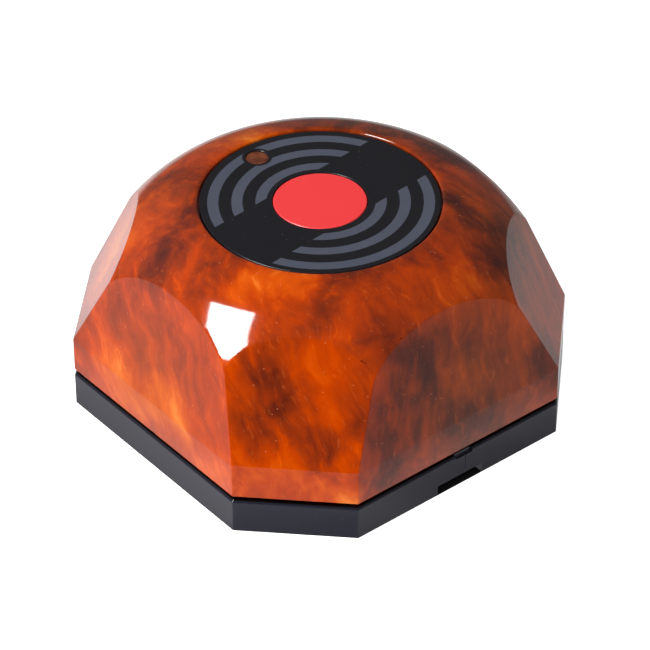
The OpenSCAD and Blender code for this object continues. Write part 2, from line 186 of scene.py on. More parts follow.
# %% Shared effects: grain, scratches and dust
def new_group(name, inputs, outputs):
    tree = bpy.data.node_groups.new(name, "ShaderNodeTree")
    for label, default in inputs.items():
        socket = tree.interface.new_socket(label, in_out="INPUT", socket_type="NodeSocketFloat")
        socket.default_value = default
    for label, kind in outputs.items():
        tree.interface.new_socket(label, in_out="OUTPUT", socket_type="NodeSocket" + kind)
    return tree, tree.nodes.new("NodeGroupInput").outputs, tree.nodes.new("NodeGroupOutput")


def specks(tree, place, scale, first, last, most, rare):
    """Small round dots in a few cells of a random pattern."""
    cells = add(tree, "ShaderNodeTexVoronoi", {"Vector": place, "Scale": scale})
    dot = stretch(tree, cells.outputs["Distance"], first, last, most, 0.0)
    chance = add(tree, "ShaderNodeSeparateColor", {0: cells.outputs["Color"]}).outputs[0]
    return times(tree, dot, maths(tree, "GREATER_THAN", chance, rare))


def grain_group():
    tree, given, put = new_group("moulded_grain", {"Size": 900.0}, {"Height": "Float", "Mottle": "Float"})
    place = own_place(tree)
    feed(tree, put, {"Height": noise(tree, place, given["Size"], 3.0),
                     "Mottle": noise(tree, place, 130.0, 4.0, 0.6)})
    return tree


def scratch_group():
    tree, given, put = new_group("hair_scratches", {"Amount": 0.5, "Length": 60.0}, {"Mask": "Float"})
    place = own_place(tree)
    total = 0.0
    for turn, squeeze in ((0.5, 9.0), (2.1, 12.0), (1.2, 7.0)):
        turned = add(tree, "ShaderNodeMapping", {"Vector": place, "Rotation": (0.2, turn, turn),
                                                 "Scale": (squeeze, 1.0, 1.0)}).outputs[0]
        bent = noise(tree, turned, given["Length"], 1.0)
        total = maths(tree, "MAXIMUM", total, stretch(tree, off_middle(tree, bent), 0.0, 0.0015, 1.0, 0.0))
    patchy = stretch(tree, noise(tree, place, 160.0), 0.52, 0.68)
    feed(tree, put, {"Mask": times(tree, times(tree, total, patchy), given["Amount"])})
    return tree


def dust_group():
    tree, given, put = new_group("dust_specks", {"Amount": 1.0, "Specks": 1400.0}, {"Mask": "Float"})
    dots = specks(tree, own_place(tree), given["Specks"], 0.05, 0.16, 1.0, 0.93)
    up = parts_of(tree, tree.nodes.new("ShaderNodeNewGeometry").outputs["Normal"])["Z"]
    lying = times(tree, dots, stretch(tree, up, 0.1, 0.9, 0.25, 1.0))
    feed(tree, put, {"Mask": times(tree, lying, given["Amount"], True)})
    return tree


GRAIN, SCRATCHES, DUST = grain_group(), scratch_group(), dust_group()


def use(tree, group, **values):
    made = tree.nodes.new("ShaderNodeGroup")
    made.node_tree = group
    feed(tree, made, values)
    return made.outputs


print("shared effects", [g.name for g in (GRAIN, SCRATCHES, DUST)])

# %% [markdown]
# ## The marbled plastic
# The shell looks like polished amber: bright orange clouds, rust and nearly black brown patches,
# with streaks that were drawn out while it was liquid. Layers are added up to one value: a cloud
# noise whose coordinates are bent by another noise, streaks, ribbons and veins from noises that
# are stretched along the flow, and soft patches where the real one is darkest and brightest. One
# ramp turns the value into colour, broad zones are made browner, and light fibres lie on top.

# %% Marbling
DARK_PATCHES = [
    ((-3.8, -28.6, 21.8), 2.0, 0.14), ((-2.3, -29.6, 19.0), 2.4, 0.24), ((-6.6, -31.0, 16.0), 4.2, 0.07),
    ((-6.6, -27.2, 24.6), 3.0, 0.12), ((-21.5, -11.5, 28.0), 5.5, 0.26), ((-16.6, -4.6, 31.4), 3.6, 0.18),
    ((-18.2, 2.6, 31.2), 3.2, 0.14), ((-22.3, 5.4, 29.4), 4.0, 0.1), ((-23.0, -6.8, 28.8), 3.0, 0.1),
    ((-13.4, -17.1, 30.0), 3.0, 0.14), ((3.4, -17.0, 31.6), 3.5, 0.2), ((25.5, -1.0, 28.0), 8.5, 0.24),
    ((16.4, 3.4, 31.6), 3.6, 0.22), ((19.8, 0.8, 30.8), 3.2, 0.18), ((12.6, -10.7, 31.7), 3.0, 0.2),
    ((15.9, -9.8, 31.2), 3.5, 0.2), ((23.4, -7.0, 28.2), 3.4, 0.18), ((14.0, 15.0, 30.5), 9.0, 0.24),
    ((-6.7, 16.0, 31.5), 4.0, 0.17), ((5.0, 16.0, 31.6), 5.0, 0.17), ((0.0, 26.0, 27.0), 9.0, 0.22),
    ((7.3, -30.3, 18.4), 3.0, 0.08), ((12.4, -28.0, 17.6), 3.6, 0.12), ((15.4, -26.6, 12.8), 3.2, 0.12),
    ((-0.6, -32.0, 14.9), 3.5, 0.12), ((4.6, -32.6, 13.0), 3.0, 0.14), ((10.5, -25.0, 26.2), 3.4, 0.16),
    ((16.5, -22.6, 21.0), 5.0, 0.26), ((14.4, -23.1, 24.4), 3.0, 0.14), ((20.8, -18.1, 20.6), 4.0, 0.14),
    ((26.6, -13.4, 17.7), 4.0, 0.12), ((22.0, -20.0, 10.0), 7.0, 0.17), ((32.0, -9.9, 12.4), 4.5, 0.24),
    ((22.0, -20.0, 15.0), 13.0, 0.06), ((10.9, -30.6, 14.4), 2.8, 0.26), ((12.4, -30.8, 8.8), 3.4, 0.22),
    ((3.4, -22.5, 29.0), 3.0, 0.14), ((-16.9, -5.0, 31.4), 3.0, 0.12), ((-10.4, -14.6, 31.5), 3.4, 0.18),
    ((8.2, -14.6, 31.7), 2.8, 0.16), ((-5.0, -27.8, 22.9), 2.6, 0.1), ((-6.4, -32.0, 15.0), 3.4, 0.1),
    ((18.0, -4.2, 31.2), 4.0, 0.12)]
BRIGHT_PATCHES = [
    ((2.6, -27.6, 23.5), 2.6, 0.08), ((4.6, -30.4, 18.3), 2.6, 0.14), ((7.6, -32.6, 13.4), 2.8, 0.16),
    ((4.7, -33.9, 7.3), 4.0, 0.2), ((8.6, -33.6, 6.6), 3.0, 0.28), ((-2.7, -33.8, 11.4), 5.0, 0.14),
    ((-28.5, -14.0, 11.0), 5.0, 0.26), ((-23.5, -19.0, 8.0), 5.0, 0.2), ((-18.9, -23.4, 11.6), 5.0, 0.26),
    ((-11.1, -31.3, 8.2), 4.0, 0.26), ((-10.0, -27.0, 25.0), 4.0, 0.12), ((-23.5, -6.0, 27.5), 4.0, 0.18),
    ((-6.5, -18.6, 31.0), 4.5, 0.24), ((-1.5, -18.0, 31.5), 3.0, 0.12), ((19.4, -5.9, 30.7), 4.2, 0.12),
    ((14.5, -11.5, 31.3), 4.5, 0.06), ((20.8, -12.1, 28.4), 3.6, 0.14), ((20.6, -18.7, 18.5), 4.4, 0.14),
    ((-10.6, 13.6, 31.6), 5.0, 0.36), ((-29.0, -1.0, 21.0), 8.0, 0.26), ((-15.0, -27.3, 11.6), 3.4, 0.12),
    ((-0.8, -18.4, 31.2), 3.4, 0.16), ((-0.7, -33.9, 7.8), 3.0, 0.12), ((-24.6, -9.4, 27.2), 3.4, 0.12),
    ((23.3, 1.9, 29.1), 3.0, 0.16), ((-9.6, -30.4, 17.4), 3.8, 0.12), ((15.0, -9.0, 31.5), 2.4, 0.1),
    ((12.0, 13.0, 31.5), 3.0, 0.16)]
BROWN_PATCHES = [
    ((24.0, -18.0, 15.0), 14.0, 0.9), ((27.0, 2.0, 26.0), 12.0, 0.8), ((10.0, 26.0, 28.0), 14.0, 0.9),
    ((-14.0, 22.0, 28.0), 12.0, 0.8), ((-24.0, 2.0, 27.0), 8.0, 0.4), ((-21.0, -21.0, 12.0), 12.0, 0.5)]
FLOW, DRAWN_OUT = (-0.467, -0.403, 0.0), (0.3, 0.3, 1.5)
CLOUD_SHARE, STREAK_SHARE, LIFT = 0.44, 0.46, 0.065
AMBER = [(0.12, paint(66, 24, 18)), (0.30, paint(104, 35, 16)), (0.46, paint(152, 50, 10)),
         (0.60, paint(188, 61, 0)), (0.76, paint(214, 82, 2)), (0.94, paint(240, 124, 36))]
BROWNER = (0.86, 1.42, 1.6, 1.0)


def bend_place(tree, place, scale, reach, detail=3.0):
    """Object coordinates pushed about by a noise, which turns clouds into swirls."""
    drift = add(tree, "ShaderNodeTexNoise", {"Vector": place, "Scale": scale, "Detail": detail,
                                             "Roughness": 0.55}).outputs["Color"]
    centred = add(tree, "ShaderNodeVectorMath", {0: drift, 1: (0.5, 0.5, 0.5)}, operation="SUBTRACT")
    pushed = add(tree, "ShaderNodeVectorMath", {0: centred.outputs[0], 3: reach}, operation="SCALE")
    return add(tree, "ShaderNodeVectorMath", {0: place, 1: pushed.outputs[0]}, operation="ADD").outputs[0]


def patches(tree, place, wanted):
    """The sum of soft round patches, given as centre, radius in mm and strength."""
    total = 0.0
    for centre, radius, strength in wanted:
        away = add(tree, "ShaderNodeVectorMath", {0: place, 1: [c * MM for c in centre]},
                   operation="DISTANCE").outputs["Value"]
        total = plus(tree, total, stretch(tree, away, 0.0, radius * 1.5 * MM, strength, 0.0,
                                          interpolation_type="SMOOTHSTEP"))
    return total


def marbling_group():
    tree, _, put = new_group("amber_marbling", {}, {"Color": "Color"})
    place = own_place(tree)
    swirl = bend_place(tree, place, 60.0, 0.009)
    clouds = noise(tree, bend_place(tree, swirl, 320.0, 0.0012), 120.0, 6.0, 0.60)
    drawn = add(tree, "ShaderNodeMapping", {"Vector": swirl, "Rotation": FLOW, "Scale": DRAWN_OUT},
                vector_type="TEXTURE").outputs[0]
    streaks = noise(tree, drawn, 150.0, 6.0, 0.56)
    ribbons = noise(tree, drawn, 66.0, 3.0)
    where = bend_place(tree, place, 170.0, 0.0070, 4.0)

    value = plus(tree, times(tree, clouds, CLOUD_SHARE), times(tree, streaks, STREAK_SHARE))
    value = maths(tree, "SUBTRACT", value, patches(tree, where, DARK_PATCHES))
    value = plus(tree, value, patches(tree, where, BRIGHT_PATCHES))
    ribbon = stretch(tree, ribbons, 0.54, 0.68, 0.0, 0.09)
    vein = times(tree, stretch(tree, off_middle(tree, ribbons), 0.003, 0.018, 0.075, 0.0),
                 stretch(tree, streaks, 0.48, 0.60))
    value = plus(tree, plus(tree, value, plus(tree, ribbon, vein)), LIFT)

    colour = ramp(tree, value, AMBER)
    brown = times(tree, patches(tree, where, BROWN_PATCHES), 1.0, True)
    colour = blend(tree, brown, colour, blend(tree, 1.0, colour, BROWNER, "MULTIPLY"))
    fibres = stretch(tree, noise(tree, drawn, 700.0), 0.62, 0.84, 0.0, 0.22)
    light_bits = maths(tree, "MAXIMUM", fibres, specks(tree, place, 1500.0, 0.06, 0.18, 0.4, 0.95))
    feed(tree, put, {"Color": blend(tree, light_bits, colour, paint(240, 132, 62))})
    return tree


MARBLING = marbling_group()
print("marbling nodes", len(MARBLING.nodes))

# %% [markdown]
# ## Finishes
# Every finish starts from one Principled shader. What changes over the surface comes from noise
# and the shared effects, and what is the same all over is written on the shader's own socket.

# %% Finishes
TARNISH = 0.25


def finish(name):
    material = bpy.data.materials.new(name)
    material.use_nodes = True
    return material, material.node_tree, material.node_tree.nodes["Principled BSDF"]


def bump(tree, height, depth_mm):
    return add(tree, "ShaderNodeBump", {"Height": height, "Strength": 1.0,
                                        "Distance": depth_mm * MM}).outputs[0]


def shell_finish():
    material, tree, shader = finish("marbled_amber")
    marbled = use(tree, MARBLING)["Color"]
    dust = use(tree, DUST, Amount=0.25, Specks=1500.0)["Mask"]
    scratches = use(tree, SCRATCHES, Amount=0.5, Length=45.0)["Mask"]
    mottle = use(tree, GRAIN, Size=700.0)["Mottle"]
    feed(tree, shader, {
        "Base Color": blend(tree, dust, marbled, paint(205, 190, 175)),
        "Roughness": plus(tree, spread(tree, mottle, 0.05, 0.09), times(tree, scratches, 0.06)),
        "Normal": bump(tree, mottle, 0.003), "IOR": 1.5})
    return material


def lighter(colour, by):
    return (*(min(1.0, c * (1 + by)) for c in colour[:3]), 1.0)


def plastic(name, colour, rough, grain_size=1600.0, depth_mm=0.004, dusty=0.5, variation=0.12):
    """A moulded plastic: its colour drifts a little, and grain, scratches and dust break the gloss."""
    material, tree, shader = finish(name)
    grain = use(tree, GRAIN, Size=grain_size)
    body = blend(tree, grain["Mottle"], lighter(colour, -variation), lighter(colour, variation))
    dust = use(tree, DUST, Amount=dusty)["Mask"]
    scratches = use(tree, SCRATCHES, Amount=0.5)["Mask"]
    mottled = spread(tree, grain["Mottle"], rough * 0.85, rough * 1.15)
    feed(tree, shader, {
        "Base Color": blend(tree, dust, body, paint(150, 148, 145)),
        "Roughness": plus(tree, mottled, times(tree, scratches, 0.15)),
        "Normal": bump(tree, grain["Height"], depth_mm), "IOR": 1.5})
    return material


def metal(name, colour, rough, brushed=(1.0, 1.0, 8.0)):
    """Sheet metal or wire: drawn out scratches in the roughness and a thin tarnish in the colour."""
    material, tree, shader = finish(name)
    place = own_place(tree)
    drawn = add(tree, "ShaderNodeMapping", {"Vector": place, "Scale": brushed}).outputs[0]
    lines = noise(tree, drawn, 600.0, 4.0)
    feed(tree, shader, {
        "Base Color": blend(tree, noise(tree, place, 240.0, 5.0), lighter(colour, -TARNISH), colour),
        "Roughness": spread(tree, lines, rough * 0.6, rough * 1.5),
        "Normal": bump(tree, lines, 0.003), "Metallic": 1.0})
    return material


SHELL_AMBER = shell_finish()
SHELL_INSIDE = plastic("shell_inside", paint(96, 40, 20), 0.42, variation=0.2)
BASE_BLACK = plastic("base_black", paint(30, 30, 44), 0.16, grain_size=1300.0, depth_mm=0.0004, variation=0.06)
DISC_BLACK = plastic("disc_black", paint(25, 24, 30), 0.30, grain_size=2200.0, depth_mm=0.002, dusty=0.3)
PRINT_GREY = plastic("print_grey", paint(80, 85, 99), 0.34, grain_size=2600.0, depth_mm=0.003, dusty=0.2)
BUTTON_RED = plastic("button_red", paint(255, 63, 65), 0.36, grain_size=2200.0, depth_mm=0.002,
                     dusty=0.15, variation=0.03)
MOULDED_BLACK = plastic("moulded_black", paint(24, 24, 26), 0.45, grain_size=1500.0, depth_mm=0.01)
CHIP_PARTS = plastic("chip_parts", paint(165, 140, 100), 0.5, variation=0.25)
PLUNGER_GREY = plastic("plunger_grey", paint(58, 59, 64), 0.4)
TINNED = metal("tinned", paint(205, 207, 210), 0.28)
SHEET_STEEL = metal("sheet_steel", paint(196, 198, 202), 0.24, brushed=(8.0, 1.0, 1.0))
CAN_STEEL = metal("can_steel", paint(186, 189, 192), 0.30)
COPPER_WIRE = metal("copper_wire", paint(196, 118, 66), 0.22, brushed=(1.0, 1.0, 1.0))
SCREW_STEEL = metal("screw_steel", paint(150, 152, 158), 0.33)
CELL_GOLD = metal("cell_metal", paint(205, 190, 140), 0.25)
print("finishes", len(bpy.data.materials))

# %% [markdown]
# Four finishes need more than the two recipes: the amber window that the lamp shines through, the
# clear lamp itself, the green board with its tracks under the lacquer, and the foam with its pores.

# %% Window, lamp, board and foam
def window_finish():
    material, tree, shader = finish("window_amber")
    cloud = noise(tree, own_place(tree), 420.0, 3.0)
    feed(tree, shader, {
        "Base Color": ramp(tree, cloud, [(0.30, paint(84, 38, 26)), (0.55, paint(126, 66, 40)),
                                         (0.80, paint(150, 88, 54))]),
        "Roughness": spread(tree, cloud, 0.20, 0.34),
        "Normal": bump(tree, cloud, 0.02), "IOR": 1.49, "Transmission Weight": 0.15})
    return material


def lamp_finish():
    material, tree, shader = finish("led_clear")
    cloud = noise(tree, own_place(tree), 500.0)
    feed(tree, shader, {
        "Base Color": blend(tree, cloud, paint(238, 214, 208), paint(250, 236, 232)),
        "Roughness": spread(tree, cloud, 0.04, 0.10), "IOR": 1.53, "Transmission Weight": 0.75})
    return material


def board_finish():
    material, tree, shader = finish("board_green")
    place = own_place(tree)
    tracks = add(tree, "ShaderNodeTexBrick", {"Vector": place, "Scale": 260.0, "Mortar Size": 0.10,
                                              "Mortar Smooth": 0.2, "Color1": grey(0.0), "Color2": grey(0.0),
                                              "Mortar": grey(1.0)}, offset=0.37, squash=1.6).outputs["Fac"]
    track = times(tree, tracks, maths(tree, "GREATER_THAN", noise(tree, place, 130.0, 1.0), 0.47))
    weave = noise(tree, place, 1500.0)
    lacquer = blend(tree, weave, paint(16, 74, 40), paint(26, 92, 52))
    feed(tree, shader, {
        "Base Color": blend(tree, track, lacquer, paint(52, 132, 74)),
        "Roughness": spread(tree, weave, 0.24, 0.36),
        "Normal": bump(tree, plus(tree, track, times(tree, weave, 0.3)), 0.03), "IOR": 1.5})
    return material


def foam_finish():
    material, tree, shader = finish("foam_grey")
    pores = add(tree, "ShaderNodeTexVoronoi", {"Vector": own_place(tree), "Scale": 1100.0}).outputs["Distance"]
    feed(tree, shader, {
        "Base Color": ramp(tree, pores, [(0.1, paint(104, 104, 102)), (0.6, paint(150, 150, 147))]),
        "Roughness": spread(tree, pores, 0.7, 0.95), "Normal": bump(tree, pores, 0.12)})
    return material


WINDOW_AMBER, LED_CLEAR = window_finish(), lamp_finish()
BOARD_GREEN, FOAM_GREY = board_finish(), foam_finish()
print("finishes", len(bpy.data.materials))

# %% [markdown]
# ## Shell
# The real shell is one moulding: a dome whose sides are cut flat by eight leaning faces above
# eight upright ones. The outside is spun as a solid of revolution, with the recess for the disc,
# and each flat face is one straight cut through it, filled with a single face. The inside is
# made in the same way, two millimetres in, and joined to the outside along the bottom edge. The
# sizes are the model's own, in mm.

# %% Shell sizes
HALF_LONG, HALF_SHORT = 30.0, 33.9
SHELL_LOW, BAND_TOP = 5.9, 11.2
LONG_LEAN, SHORT_LEAN = math.radians(14.8), math.radians(26.7)
DOME_R, DOME_RING, DOME_Z, DOME_END = 19.5, 13.2, 12.5, math.radians(54)
RECESS_R, RECESS_Z, DISC_Z = 16.86, 30.355, 31.355
LIP_R, LIP_OUT, LIP_UP = 17.30, 0.44, 0.285
CEILING_Z, BUTTON_HOLE_R = 28.755, 6.62
COLLAR_R, COLLAR_T, COLLAR_H = 8.0, 1.2, 2.8
WALL = 2.0
BETWEEN_RINGS_R = 34.0
SPIN_STEPS = 192
EDGE_ROUND, EDGE_FROM, SLIVER = 0.16, math.radians(11), 0.34


def close_ends(mesh):
    """Fills each open ring with one flat face."""
    bmesh.ops.holes_fill(mesh, edges=[e for e in mesh.edges if e.is_boundary], sides=0)


def spun(outline, steps):
    """A solid of revolution about Z, from an outline in mm."""
    mesh = bmesh.new()
    corners = [mesh.verts.new(Vector(p) * MM) for p in outline]
    for a, b in zip(corners, corners[1:]):
        mesh.edges.new((a, b))
    bmesh.ops.spin(mesh, geom=mesh.verts[:] + mesh.edges[:], cent=(0, 0, 0), axis=(0, 0, 1),
                   angle=math.tau, steps=steps, use_merge=True)
    bmesh.ops.remove_doubles(mesh, verts=mesh.verts, dist=1e-7)
    close_ends(mesh)
    bmesh.ops.recalc_face_normals(mesh, faces=mesh.faces)
    return mesh


def dome_arc(inset, top_angle, steps):
    radius = DOME_R - inset
    angles = [DOME_END + (top_angle - DOME_END) * i / steps for i in range(steps + 1)]
    return [(DOME_RING + radius * math.sin(a), 0, DOME_Z + radius * math.cos(a)) for a in angles]


def cone_foot(inset):
    """Where the straight cone below the dome's curve meets the level of the table."""
    radius = DOME_R - inset
    end_r, end_z = DOME_RING + radius * math.sin(DOME_END), DOME_Z + radius * math.cos(DOME_END)
    return (end_r + end_z / math.tan(DOME_END), 0, 0)


def cut_flat(mesh, point, normal):
    """Cuts away what lies beyond a plane and closes the cut with one face."""
    every = mesh.verts[:] + mesh.edges[:] + mesh.faces[:]
    made = bmesh.ops.bisect_plane(mesh, geom=every, dist=1e-7, plane_co=Vector(point) * MM,
                                  plane_no=normal, clear_outer=True)
    loop = [g for g in made["geom_cut"] if isinstance(g, bmesh.types.BMEdge)]
    bmesh.ops.contextual_create(mesh, geom=loop)


def cut_faces(mesh, inset, low):
    for half, lean, first in ((HALF_LONG, LONG_LEAN, 45), (HALF_SHORT, SHORT_LEAN, 0)):
        for quarter in range(4):
            turn = math.radians(first + 90 * quarter)
            out = Vector((math.cos(turn), math.sin(turn), 0))
            cut_flat(mesh, out * (half - inset), out)
            leaning = out * math.cos(lean) + Vector((0, 0, math.sin(lean)))
            cut_flat(mesh, out * half + Vector((0, 0, BAND_TOP)) - leaning * inset, leaning)
    cut_flat(mesh, (0, 0, low), (0, 0, -1))


# %% [markdown]
# The cuts leave slivers where a plane passes close to a corner of the dome's grid. Those corners
# are welded to the cut before the edges are rounded, or the rounding would fold over.

# %% Shell outside


def weld_slivers(mesh, reach_mm):
    """Moves grid corners that lie close to a cut onto it."""
    target = {}
    flat = {v for f in mesh.faces if len(f.verts) > 4 for v in f.verts}
    for edge in mesh.edges:
        a, b = edge.verts
        if edge.calc_length() > reach_mm * MM or a in target or b in target:
            continue
        if (a in flat) and (b in flat):
            if len(a.link_edges) <= 3 and len(b.link_edges) <= 3 and edge.calc_length() < 0.5 * reach_mm * MM:
                if sum(len(f.verts) > 4 for f in a.link_faces) == 1:
                    target[a] = b
        elif a in flat:
            target[b] = a
        elif b in flat:
            target[a] = b
    target = {a: b for a, b in target.items() if b not in target}
    bmesh.ops.weld_verts(mesh, targetmap=target)
    return len(target)


def shell_outside():
    rim_angle = math.asin((LIP_R - DOME_RING) / DOME_R)
    crest = DOME_Z + DOME_R * math.cos(rim_angle)
    lip = [(LIP_R - LIP_OUT * math.sin(a), 0, crest - LIP_UP * (1 - math.cos(a)))
           for a in (math.pi / 2 * i / 6 for i in range(1, 7))]
    mesh = spun([cone_foot(0), *dome_arc(0, rim_angle, 22), *lip, (RECESS_R, 0, RECESS_Z),
                 (BUTTON_HOLE_R, 0, RECESS_Z), (BUTTON_HOLE_R, 0, CEILING_Z)], SPIN_STEPS)
    cut_faces(mesh, 0, SHELL_LOW)
    welded = weld_slivers(mesh, SLIVER)
    mesh.normal_update()
    # The lip round the recess is round already, so only edges further out are picked.
    sharp = [e for e in mesh.edges if len(e.link_faces) == 2 and e.calc_face_angle() > EDGE_FROM
             and e.verts[0].co.xy.length > LIP_R * MM
             and max(v.co.xy.length for v in e.verts) > (LIP_R + 0.1) * MM]
    bmesh.ops.bevel(mesh, geom=sharp, affect="EDGES", offset=EDGE_ROUND * MM, offset_type="OFFSET",
                    segments=3, profile=0.5, material=-1, clamp_overlap=False)
    print("shell outside: welded", welded, "rounded", len(sharp), "faces", len(mesh.faces))
    return mesh


outside = shell_outside()

# %% [markdown]
# The cavity is cut out in the same way. The posts for the board's screws, their ribs and the ribs
# that stand on the base's lip are taken away from the cavity, so that they stay as plastic. Then
# the cavity is turned inside out and joined to the outside along the octagon at the bottom.

# %% Shell inside
BOARD_TOP, POST_AT, POST_R, SCREW_HOLE_R, SCREW_HOLE_DEEP = 16.8, 14.5, 2.6, 1.0, 7.5
LIP_TOP, STOP_AT, STOP_T, STOP_DEPTH, STOP_H = 7.6, 12.0, 1.2, 1.6, 7.0


def block(mesh, low, high, turn=0.0):
    """A block between two corners in mm, turned about the Z axis."""
    made = bmesh.ops.create_cube(mesh, size=1.0)["verts"]
    size = [(h - l) * MM for l, h in zip(low, high)]
    bmesh.ops.scale(mesh, vec=size, verts=made)
    bmesh.ops.translate(mesh, vec=[(l + h) / 2 * MM for l, h in zip(low, high)], verts=made)
    bmesh.ops.rotate(mesh, cent=(0, 0, 0), matrix=Matrix.Rotation(turn, 3, "Z"), verts=made)
    return made


def to_object(mesh, name, *materials):
    data = bpy.data.meshes.new(name)
    mesh.to_mesh(data)
    mesh.free()
    for material in materials:
        data.materials.append(material)
    made = bpy.data.objects.new(name, data)
    bpy.context.scene.collection.objects.link(made)
    return made


def smooth_finish(mesh, name, *materials, sharp_deg=35):
    for face in mesh.faces:
        face.smooth = True
    made = to_object(mesh, name, *materials)
    made.data.set_sharp_from_angle(angle=math.radians(sharp_deg))
    weighted = made.modifiers.new("weighted", "WEIGHTED_NORMAL")
    weighted.keep_sharp, weighted.weight = True, 100
    return made


def stand_in(piece, node, body="housing"):
    """Puts a piece in the place of one of the model's parts, on the body that carries it."""
    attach(piece, body)
    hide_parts(node)
    print(piece.name, "faces", len(piece.data.polygons))


def apply_modifiers(thing):
    """Makes the modified shape the object's own mesh."""
    seen = thing.evaluated_get(bpy.context.evaluated_depsgraph_get())
    made = bpy.data.meshes.new_from_object(seen)
    thing.modifiers.clear()
    thing.data = made


def boolean(thing, tool, operation):
    made = thing.modifiers.new("boolean", "BOOLEAN")
    made.object, made.operation, made.solver = tool, operation, "EXACT"
    apply_modifiers(thing)
    bpy.data.objects.remove(tool)


def cavity():
    ceiling_angle = math.acos((CEILING_Z - DOME_Z) / (DOME_R - WALL))
    collar_low, collar_out = CEILING_Z - COLLAR_H, COLLAR_R + COLLAR_T
    mesh = spun([cone_foot(WALL), *dome_arc(WALL, ceiling_angle, 14), (collar_out, 0, CEILING_Z),
                 (collar_out, 0, collar_low), (COLLAR_R, 0, collar_low), (COLLAR_R, 0, CEILING_Z),
                 (BUTTON_HOLE_R, 0, CEILING_Z)], SPIN_STEPS)
    cut_faces(mesh, WALL, SHELL_LOW)
    return to_object(mesh, "cavity")


def at_posts(name, radius, low, high, sides):
    """Four upright rods, one on the axis of each post."""
    mesh = bmesh.new()
    for x in (-POST_AT, POST_AT):
        for y in (-POST_AT, POST_AT):
            place = Matrix.Translation(Vector((x, y, (low + high) / 2)) * MM)
            bmesh.ops.create_cone(mesh, cap_ends=True, segments=sides, radius1=radius * MM,
                                  radius2=radius * MM, depth=(high - low) * MM, matrix=place)
    return to_object(mesh, name)


def kept_plastic():
    """What stands inside the cavity: four posts with ribs, and the ribs that rest on the lip."""
    made = at_posts("posts", POST_R, BOARD_TOP, CEILING_Z + 4, 40)
    mesh = bmesh.new()
    for quarter in range(4):
        turn = math.radians(45 + 90 * quarter)
        out = POST_AT * math.sqrt(2)
        block(mesh, (out, -0.5, BOARD_TOP + 1), (out + 5, 0.5, CEILING_Z + 3.7), turn)
        for at in (-STOP_AT, STOP_AT):
            block(mesh, (HALF_LONG - WALL - STOP_DEPTH, at - STOP_T / 2, LIP_TOP),
                  (HALF_LONG - WALL / 2, at + STOP_T / 2, LIP_TOP + STOP_H), turn)
    boolean(made, to_object(mesh, "ribs"), "UNION")
    boolean(made, at_posts("screw_holes", SCREW_HOLE_R, BOARD_TOP - 1, BOARD_TOP + SCREW_HOLE_DEEP, 24),
            "DIFFERENCE")
    return made


def ring_at(mesh, level, outer):
    """The edges of an open ring at a level, outside or inside a radius."""
    found = []
    for edge in mesh.edges:
        if edge.is_boundary and all(abs(v.co.z - level * MM) < 1e-6 for v in edge.verts):
            if (max(v.co.xy.length for v in edge.verts) > BETWEEN_RINGS_R * MM) == outer:
                found.append(edge)
    return found


def shell():
    hollow = cavity()
    boolean(hollow, kept_plastic(), "DIFFERENCE")
    inside = bmesh.new()
    inside.from_mesh(hollow.data)
    bmesh.ops.reverse_faces(inside, faces=inside.faces)
    for face in inside.faces:
        face.material_index = 1
    inside.to_mesh(hollow.data)
    inside.free()
    outside.from_mesh(hollow.data)
    bpy.data.objects.remove(hollow)
    caps = [f for f in outside.faces if abs(f.normal.z) > 0.99 and len(f.verts) >= 8
            and (all(abs(v.co.z - SHELL_LOW * MM) < 1e-6 for v in f.verts)
                 or (all(abs(v.co.z - CEILING_Z * MM) < 1e-6 for v in f.verts)
                     and max(v.co.xy.length for v in f.verts) < (BUTTON_HOLE_R + 0.01) * MM))]
    bmesh.ops.delete(outside, geom=caps, context="FACES_ONLY")
    bmesh.ops.remove_doubles(outside, verts=outside.verts, dist=2e-6)
    rings = ring_at(outside, SHELL_LOW, True) + ring_at(outside, SHELL_LOW, False)
    bmesh.ops.bridge_loops(outside, edges=rings)
    open_edges = sum(len(e.link_faces) != 2 for e in outside.edges)
    print("shell open edges", open_edges, "caps taken out", len(caps))
    return smooth_finish(outside, "shell", SHELL_AMBER, SHELL_INSIDE, sharp_deg=50)


stand_in(shell(), "top_shell")

# %% [markdown]
# ## Base
# The base's mesh from the model has the right shape, but its edges are knife sharp, and a real
# moulding shows a thin line of light along each one. A copy is merged, its flat faces are made
# whole again, and only the edges on the outside of the band are rounded.
#
# The ledge of the base below the shell lies in a gap that hardly any light enters, so painted shade
# takes its colour down there, by how far in from the outside it lies.

# %% Base
LEDGE_Z, LEDGE_IN, BAND_EDGE, BASE_ROUND = 5.1, (-0.11, -0.2), -0.45, 0.11
# The colour of the painted shade on the ledge in the gap under the shell.
LEDGE_PAINTED_SHADE = grey(0.0015)


def merged_copy(node):
    mesh = bmesh.new()
    mesh.from_mesh(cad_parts[node].data)
    bmesh.ops.remove_doubles(mesh, verts=mesh.verts, dist=2e-6)
    bmesh.ops.dissolve_limit(mesh, angle_limit=math.radians(0.4), verts=mesh.verts, edges=mesh.edges,
                             use_dissolve_boundaries=False)
    return mesh


def past_octagon(point):
    """How far outside the band's octagon a corner lies, in mm; inside it is less than zero."""
    x, y = abs(point.x) / MM, abs(point.y) / MM
    return max(max(x, y) - HALF_SHORT, (x + y) / math.sqrt(2) - HALF_LONG)


def outside_octagon(tree, place):
    """The same for a finish, in metres."""
    parts = parts_of(tree, place)
    wide, deep = (maths(tree, "ABSOLUTE", parts[axis]) for axis in "XY")
    flat = maths(tree, "SUBTRACT", maths(tree, "MAXIMUM", wide, deep), HALF_SHORT * MM)
    slanted = times(tree, plus(tree, wide, deep), math.sqrt(0.5))
    return maths(tree, "MAXIMUM", flat, maths(tree, "SUBTRACT", slanted, HALF_LONG * MM))


